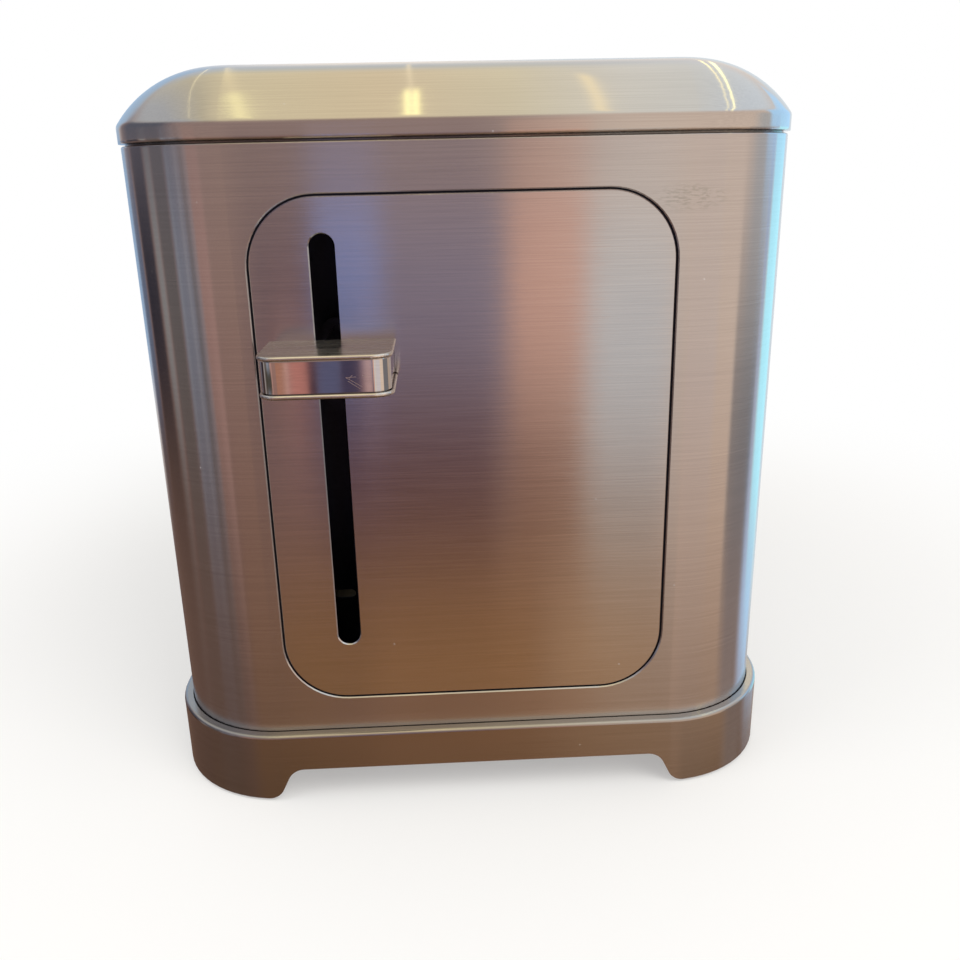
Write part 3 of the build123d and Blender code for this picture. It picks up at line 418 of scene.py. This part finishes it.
# Brushed steel: one recipe for every visible sheet. Grain is how many grain lines to a metre along
# each axis, seam is how far a seam shades the sheet beside it, and fold softens a sharp fold
steelLooks = {
    "brushed_steel_body": {"tone": "cecccb", "roughness": 0.185, "sheen": 1.0, "contrast": 0.028,
                           "grain": (34.0, 34.0, 5200.0), "bump": 0.05, "seam": 0.0003},
    "brushed_steel_cap": {"tone": "d2cfca", "roughness": 0.08, "sheen": 1.0, "contrast": 0.020,
                          "grain": (30.0, 3600.0, 3600.0), "bump": 0.04, "seam": 0.0010, "fold": 0.0011},
    "brushed_steel_plinth": {"tone": "bab6b1", "roughness": 0.19, "sheen": 0.9, "contrast": 0.030,
                             "grain": (30.0, 30.0, 4200.0), "bump": 0.05, "seam": 0.0008},
    "brushed_steel_panel": {"tone": "cecdcd", "roughness": 0.13, "sheen": 1.0, "contrast": 0.032,
                            "grain": (42.0, 42.0, 5600.0), "bump": 0.12, "seam": 0.0004},
    "brushed_steel_handle": {"tone": "dedbd6", "roughness": 0.27, "sheen": 0.5, "contrast": 0.110,
                             "grain": (60.0, 3400.0, 3400.0), "bump": 0.08, "seam": 0.0018},
}
# stops are where the mixed grain is dark, plain and pale; turn lays the blur across the grain
grainMix = {"fine": 0.8, "long": 0.2, "longStretch": (0.2, 0.2, 0.5), "stops": (0.34, 0.5, 0.66),
            "roughSwing": 0.06, "depth": 0.00005, "turn": 0.25}
clouds = {"scale": 22.0, "detail": 3.0, "stops": (0.35, 0.65), "dark": (0.95, 0.95, 0.965, 1.0)}
seamShade = {"dark": 0.16, "closed": 0.25, "open": 0.85}
dust = {"cells": 260.0, "size": 0.042, "share": 0.04, "glint": 0.24}
# a rubbed mark by the panel's upper corner; edge is where it fades, in shares of its size
smudge = {"centre": (0.0575, 0.0, 0.1710), "size": (0.0085, 0.0030), "edge": (0.5, 1.5),
          "colour": (0.496, 0.496, 0.48, 1.0), "streaks": (420.0, 420.0, 1500.0),
          "streakDetail": 4.0, "streakRoughness": 0.7, "streakRange": (0.48, 0.60)}


def dustMask(tree, coords, settings):
    cell = addNode(tree, "TexVoronoi", {"Vector": coords, "Scale": settings["cells"], "Randomness": 1.0})
    near = addRange(tree, cell.outputs["Distance"], settings["size"], settings["size"] * 2, 1.0, 0.0)
    drawn = addNode(tree, "SeparateColor", {0: cell.outputs["Color"]}).outputs[0]
    chosen = addMath(tree, "LESS_THAN", drawn, settings["share"])
    return addMath(tree, "MULTIPLY", near, chosen)


def smudgeMask(tree, coords, settings):
    wide, tall = settings["size"]
    moved = addNode(tree, "VectorMath", {0: coords, 1: settings["centre"]}, operation="SUBTRACT").outputs[0]
    scaled = addNode(tree, "VectorMath", {0: moved, 1: (1 / wide, 0.0, 1 / tall)}, operation="MULTIPLY")
    reach = addNode(tree, "VectorMath", {0: scaled.outputs[0]}, operation="LENGTH").outputs["Value"]
    streaky = stretchedNoise(tree, coords, settings["streaks"], settings["streakDetail"],
                             settings["streakRoughness"])
    front = addMath(tree, "LESS_THAN", addNode(tree, "SeparateXYZ", {0: coords}).outputs[1], 0.0)
    rub = addMath(tree, "MULTIPLY", addRange(tree, reach, *settings["edge"], 1.0, 0.0),
                  addRange(tree, streaky, *settings["streakRange"]))
    return addMath(tree, "MULTIPLY", rub, front)


def brushedSteel(name, look):
    material, tree, shader = newMaterial(name)
    coords = addNode(tree, "TexCoord").outputs["Object"]
    fine = stretchedNoise(tree, coords, look["grain"])
    longGrain = tuple(g * k for g, k in zip(look["grain"], grainMix["longStretch"]))
    long = stretchedNoise(tree, coords, longGrain)
    soft = plainNoise(tree, coords, clouds["scale"], clouds["detail"])
    grain = addMath(tree, "ADD", addMath(tree, "MULTIPLY", fine, grainMix["fine"]),
                    addMath(tree, "MULTIPLY", long, grainMix["long"]))
    tone = hexColour(look["tone"])
    swing = look["contrast"]
    dark = tuple(c * (1 - swing * 2) for c in tone[:3]) + (1.0,)
    pale = tuple(min(1.0, c * (1 + swing * 2)) for c in tone[:3]) + (1.0,)
    lines = addRamp(tree, grain, list(zip(grainMix["stops"], (dark, tone, pale))))
    cloudy = addRamp(tree, soft, list(zip(clouds["stops"], (clouds["dark"], plainWhite))))
    colour = addMix(tree, 1.0, lines, cloudy, "MULTIPLY")
    # painted shade: the sheet's colour darkens where another surface is near, in seams, gaps and creases
    closeBy = addNode(tree, "AmbientOcclusion", {"Distance": look["seam"]}, samples=6).outputs["AO"]
    shade = (seamShade["dark"],) * 3 + (1,)
    seam = addRamp(tree, closeBy, [(seamShade["closed"], shade), (seamShade["open"], plainWhite)])
    colour = addMix(tree, 1.0, colour, seam, "MULTIPLY")
    if name == "brushed_steel_body":
        colour = addMix(tree, smudgeMask(tree, coords, smudge), colour, smudge["colour"])
    speck = dustMask(tree, coords, dust)
    colour = addMix(tree, addMath(tree, "MULTIPLY", speck, dust["glint"]), colour, plainWhite)
    tree.links.new(colour, shader.inputs["Base Color"])
    sway = grainMix["roughSwing"]
    rough = addMath(tree, "MULTIPLY_ADD", grain, sway, look["roughness"] - sway / 2)
    tree.links.new(rough, shader.inputs["Roughness"])
    tree.links.new(addMath(tree, "MULTIPLY_ADD", speck, -dust["glint"], 1.0), shader.inputs["Metallic"])
    shader.inputs["Anisotropic"].default_value = look["sheen"]
    shader.inputs["Anisotropic Rotation"].default_value = grainMix["turn"]
    tangent = addNode(tree, "Tangent", direction_type="RADIAL", axis="Z")
    tree.links.new(tangent.outputs[0], shader.inputs["Tangent"])
    bump = addNode(tree, "Bump", {"Strength": look["bump"], "Distance": grainMix["depth"], "Height": grain})
    if "fold" in look:
        fold = addNode(tree, "Bevel", {"Radius": look["fold"]}, samples=6)
        tree.links.new(fold.outputs[0], bump.inputs["Normal"])
    tree.links.new(bump.outputs[0], shader.inputs["Normal"])
    return material


def addTone(tree, shader, noise, colour, shade, stops):
    # the colour, darker by shade where the noise is low
    base = hexColour(colour)
    dark = tuple(c * shade for c in base[:3]) + (1.0,)
    tree.links.new(addRamp(tree, noise, list(zip(stops, (dark, base)))), shader.inputs["Base Color"])


# Plain metals: rough is the least roughness and its swing, as shares of the metal's own
metalGrain = {"detail": 3.0, "shade": 0.85, "stops": (0.35, 0.65), "rough": (0.75, 0.5)}


def plainMetal(name, colour, roughness, grainScale=900.0):
    material, tree, shader = newMaterial(name)
    coords = addNode(tree, "TexCoord").outputs["Object"]
    noise = plainNoise(tree, coords, grainScale, metalGrain["detail"])
    addTone(tree, shader, noise, colour, metalGrain["shade"], metalGrain["stops"])
    least, swing = (roughness * share for share in metalGrain["rough"])
    tree.links.new(addMath(tree, "MULTIPLY_ADD", noise, swing, least), shader.inputs["Roughness"])
    shader.inputs["Metallic"].default_value = 1.0
    return material


# Fine scratches on the band's front, each from one x, z to another
scratches = {
    "wide": 0.00007,
    "rough": 0.34,
    "strokes": [(-0.0294, 0.1327, -0.0270, 0.1328), (-0.0294, 0.1327, -0.0257, 0.1304),
                (-0.0289, 0.1318, -0.0262, 0.1299), (-0.0254, 0.1331, -0.0246, 0.1328),
                (-0.0286, 0.1325, -0.0279, 0.1332)],
}


def scratchMask(tree, coords, settings):
    found = 0.0
    wide = settings["wide"]
    for x0, z0, x1, z1 in settings["strokes"]:
        run = Vector((x1 - x0, 0.0, z1 - z0))
        along = run.normalized()
        aside = Vector((-along.z, 0.0, along.x))
        middle = ((x0 + x1) / 2, 0.0, (z0 + z1) / 2)
        moved = addNode(tree, "VectorMath", {0: coords, 1: middle}, operation="SUBTRACT").outputs[0]
        ahead = addNode(tree, "VectorMath", {0: moved, 1: along}, operation="DOT_PRODUCT").outputs["Value"]
        beside = addNode(tree, "VectorMath", {0: moved, 1: aside}, operation="DOT_PRODUCT").outputs["Value"]
        beyond = addMath(tree, "SUBTRACT", addMath(tree, "ABSOLUTE", ahead), run.length / 2)
        reach = addMath(tree, "MAXIMUM", addMath(tree, "ABSOLUTE", beside), beyond)
        found = addMath(tree, "MAXIMUM", found, addRange(tree, reach, wide * 0.5, wide, 1.0, 0.0))
    front = addMath(tree, "LESS_THAN", addNode(tree, "SeparateXYZ", {0: coords}).outputs[1], 0.0)
    return addMath(tree, "MULTIPLY", found, front)


mirrorGrain = {"lines": (300.0, 300.0, 9000.0), "shade": 0.93, "stops": (0.4, 0.6), "haze": 160.0,
               "hazeDetail": 3.0, "rough": 0.03, "roughSwing": 0.03}


def mirrorMetal(name, colour):
    material, tree, shader = newMaterial(name)
    coords = addNode(tree, "TexCoord").outputs["Object"]
    fine = stretchedNoise(tree, coords, mirrorGrain["lines"])
    hazy = plainNoise(tree, coords, mirrorGrain["haze"], mirrorGrain["hazeDetail"])
    addTone(tree, shader, fine, colour, mirrorGrain["shade"], mirrorGrain["stops"])
    rough = addMath(tree, "MULTIPLY_ADD", hazy, mirrorGrain["roughSwing"], mirrorGrain["rough"])
    scratched = scratchMask(tree, coords, scratches)
    rough = addMath(tree, "MULTIPLY_ADD", scratched, scratches["rough"], rough)
    tree.links.new(rough, shader.inputs["Roughness"])
    shader.inputs["Metallic"].default_value = 1.0
    return material


coatGrain = {"detail": 4.0, "stops": (0.3, 0.7), "roughSwing": 0.2, "bump": 0.15, "depth": 0.0003}


def plainCoat(name, colour, roughness, grainScale=700.0, shade=0.75):
    material, tree, shader = newMaterial(name)
    coords = addNode(tree, "TexCoord").outputs["Object"]
    noise = plainNoise(tree, coords, grainScale, coatGrain["detail"])
    addTone(tree, shader, noise, colour, shade, coatGrain["stops"])
    rough = addMath(tree, "MULTIPLY_ADD", noise, coatGrain["roughSwing"], roughness)
    tree.links.new(rough, shader.inputs["Roughness"])
    bump = addNode(tree, "Bump", {"Strength": coatGrain["bump"], "Distance": coatGrain["depth"],
                                  "Height": noise})
    tree.links.new(bump.outputs[0], shader.inputs["Normal"])
    return material


# tone and roughness of each plain metal and each coat
metalLooks = {
    "plated_steel": ("b8b8b6", 0.3),
    "wire_steel": ("c4c2be", 0.2),
    "tray_steel": ("b4b0ac", 0.34),
    "iron": ("8a8a8a", 0.4),
    "heater_alloy": ("7d7068", 0.45),
    "copper_winding": ("b46a3c", 0.35),
}
coatLooks = {
    "black_backing": ("191a24", 0.6),
    "black_plastic": ("19191b", 0.45),
    "circuit_board": ("1f5a34", 0.4),
    "mica": ("b6a37f", 0.4),
    "foot_rubber": ("1b1b1b", 0.7),
}
materials = {name: brushedSteel(name, look) for name, look in steelLooks.items()}
materials["polished_band"] = mirrorMetal("polished_band", "dcd8d4")
for name, look in metalLooks.items():
    materials[name] = plainMetal(name, *look)
for name, look in coatLooks.items():
    materials[name] = plainCoat(name, *look)
backing = materials["black_backing"].node_tree.nodes["Principled BSDF"]
backing.inputs["Specular IOR Level"].default_value = 0.12     # the gap round the panel stays dark

for row in frame["record"]["subparts"]:
    for slot in nodes[row["node"]].material_slots:
        slot.material = materials[row["material_slot"]]
# painted shade: a darker, bluish copy of the plated steel for the front bulkhead and the carriage bracket,
# which lie in shade inside the slots
shadeDarkPlatedSteel = plainMetal("plated_steel_painted_shade", "50556a", 0.45)
for name in ("front_bulkhead", "carriage_bracket"):
    nodes[name].material_slots[0].material = shadeDarkPlatedSteel
nodes["browning_dial"].material_slots[0].material = plainMetal("satin_dial", "dcdad6", 0.5, 2200.0)
# the panel over the handle stays clean, as photographed
nodes["handle_top_plate"].visible_glossy = False
print("stage: materials on the frame")


# New pieces: each is made in place, and one with a body is attached to it
def finishPiece(shape, name, body, material):
    bmesh.ops.remove_doubles(shape, verts=shape.verts, dist=1e-7)
    bmesh.ops.recalc_face_normals(shape, faces=shape.faces)
    mesh = bpy.data.meshes.new(name)
    shape.to_mesh(mesh)
    shape.free()
    mesh.materials.append(material)
    piece = bpy.data.objects.new(name, mesh)
    scene.collection.objects.link(piece)
    if body:
        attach(piece, body)
    return piece


def addBar(shape, size, place, ease=0.2):
    # a thin printed bar with eased edges, its face in the XY plane of place
    made = bmesh.ops.create_cube(shape, size=1.0, matrix=Matrix.Diagonal((*size, 1.0)))
    edges = list({edge for vert in made["verts"] for edge in vert.link_edges})
    eased = bmesh.ops.bevel(shape, geom=edges, offset=min(size) * ease, offset_type="OFFSET", segments=1,
                            profile=0.5, affect="EDGES", material=-1)
    corners = {vert for face in eased["faces"] for vert in face.verts}
    bmesh.ops.transform(shape, matrix=place, verts=list(corners))


def addText(shape, text, size, thickness, place):
    curve = bpy.data.curves.new("printedText", "FONT")
    curve.body = text
    curve.size = size
    curve.extrude = thickness / 2
    curve.align_x = "CENTER"
    curve.align_y = "CENTER"
    curve.resolution_u = 4
    holder = bpy.data.objects.new("printedText", curve)
    scene.collection.objects.link(holder)
    mesh = bpy.data.meshes.new_from_object(holder.evaluated_get(bpy.context.evaluated_depsgraph_get()))
    mesh.transform(place)
    shape.from_mesh(mesh)
    bpy.data.objects.remove(holder)
    bpy.data.meshes.remove(mesh)


def onLeftSide(x, y, z, turn=0.0):
    # a frame on the side that carries the controls: X runs to the front, Y up, Z out of the sheet
    side = Matrix(((0, 0, -1, x), (-1, 0, 0, y), (0, 1, 0, z), (0, 0, 0, 1)))
    return side @ Matrix.Rotation(-turn, 4, "Z")


# Printed scale round the browning dial, plain ticks and numbers
dialScale = {
    "numbers": 7,
    "sweep": 270.0,          # degrees from the first number to the last
    "tick": (0.0007, 0.0026),
    "halfTick": 0.6,         # a tick between two numbers, as a share of a full one
    "tickPlace": 0.0226,     # out from the dial's centre
    "textPlace": 0.0272,
    "textSize": 0.0044,
    "thickness": 0.0001,
}


def makeDialScale(settings):
    low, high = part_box("browning_dial")
    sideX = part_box("body_shell")[0].x - settings["thickness"] * 0.5
    centre = (low + high) / 2
    shape = bmesh.new()
    lastTick = 2 * settings["numbers"] - 2
    for i in range(lastTick + 1):
        turn = math.radians(settings["sweep"] * (i / lastTick - 0.5))
        out = Vector((0.0, -math.sin(turn), math.cos(turn)))
        share = settings["halfTick"] if i % 2 else 1.0
        width, length = (side * share for side in settings["tick"])
        place = centre + out * settings["tickPlace"]
        addBar(shape, (width, length, settings["thickness"]), onLeftSide(sideX, place.y, place.z, turn))
        if i % 2 == 0:
            place = centre + out * settings["textPlace"]
            addText(shape, str(i // 2 + 1), settings["textSize"], settings["thickness"],
                    onLeftSide(sideX, place.y, place.z))
    finishPiece(shape, "dial_scale", "housing", materials["printed_mark"])


# A short enamel mark near the dial's edge, at its top; sunk is how far its face is under the dial's
dialMark = {"size": (0.0014, 0.0013, 0.0002), "place": 0.01525, "sunk": 0.0006}


def makeDialMark(settings):
    low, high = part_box("browning_dial")
    centre = (low + high) / 2
    shape = bmesh.new()
    x = low.x + settings["sunk"] - settings["size"][2] / 2
    addBar(shape, settings["size"], onLeftSide(x, centre.y, centre.z + settings["place"]))
    finishPiece(shape, "dial_mark", "browning_dial", materials["printed_mark"])


# Marks on the buttons: a square to stop, an arc to warm again, a six-armed star to thaw. The square's
# half side, the arc's radius and its bars are shares of reach; angles are in degrees
buttonMarks = {
    "thickness": 0.0001,
    "line": 0.00055,
    "reach": 0.0021,
    "square": 0.8,
    "arc": 0.9,
    "arcBar": 0.5,
    "arcBars": 9,
    "arcStart": -120,
    "arcStep": 30,
}


def makeButtonMark(button, settings):
    low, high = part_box(button)
    centre = (low + high) / 2
    thick, line, reach = settings["thickness"], settings["line"], settings["reach"]
    face = onLeftSide(low.x - thick / 2, centre.y, centre.z)
    shape = bmesh.new()
    if button == "defrost_button":
        for i in range(3):
            addBar(shape, (line, reach * 2, thick), face @ Matrix.Rotation(math.radians(60 * i), 4, "Z"))
    elif button == "cancel_button":
        half = reach * settings["square"]
        for i in range(4):
            turned = face @ Matrix.Rotation(math.radians(90 * i), 4, "Z")
            side = turned @ Matrix.Translation((0, half, 0))
            addBar(shape, (half * 2 + line, line, thick), side)
    else:
        for i in range(settings["arcBars"]):
            angle = math.radians(settings["arcStep"] * i + settings["arcStart"])
            turned = face @ Matrix.Rotation(angle, 4, "Z")
            step = turned @ Matrix.Translation((0, reach * settings["arc"], 0))
            addBar(shape, (reach * settings["arcBar"], line, thick), step)
    finishPiece(shape, button.replace("button", "mark"), button, materials["printed_mark"])


# The lift spring as a wound coil in the place of its plain tube
liftCoil = {"wire": 0.00048, "turns": 19, "stepsPerTurn": 22, "wireSides": 8}


def makeLiftCoil(settings):
    low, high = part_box("lift_spring")
    wire = settings["wire"]
    middle = (low + high) / 2
    radius = (high.x - low.x) / 2 - wire
    steps = settings["turns"] * settings["stepsPerTurn"]
    rise = (high.z - low.z - 2 * wire) / steps
    shape = bmesh.new()
    start = Matrix.Translation((middle.x + radius, middle.y, low.z + wire))
    start = start @ Matrix.Rotation(math.pi / 2, 4, "X")
    ring = bmesh.ops.create_circle(shape, segments=settings["wireSides"], radius=wire, matrix=start)
    edges = list({edge for vert in ring["verts"] for edge in vert.link_edges})
    bmesh.ops.spin(shape, geom=ring["verts"] + edges, cent=(middle.x, middle.y, 0), axis=(0, 0, 1),
                   dvec=(0, 0, rise), angle=math.tau * settings["turns"], steps=steps)
    bmesh.ops.holes_fill(shape, edges=[edge for edge in shape.edges if edge.is_boundary])
    coil = finishPiece(shape, "lift_coil", None, materials["wire_steel"])
    for face in coil.data.polygons:
        face.use_smooth = True
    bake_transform(coil)
    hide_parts("lift_spring")


materials["printed_mark"] = plainCoat("printed_mark", "d9d7d0", 0.5, 2400.0, 0.93)
makeDialScale(dialScale)
makeDialMark(dialMark)
for name in ("cancel_button", "reheat_button", "defrost_button"):
    makeButtonMark(name, buttonMarks)
makeLiftCoil(liftCoil)
print("stage: added pieces")
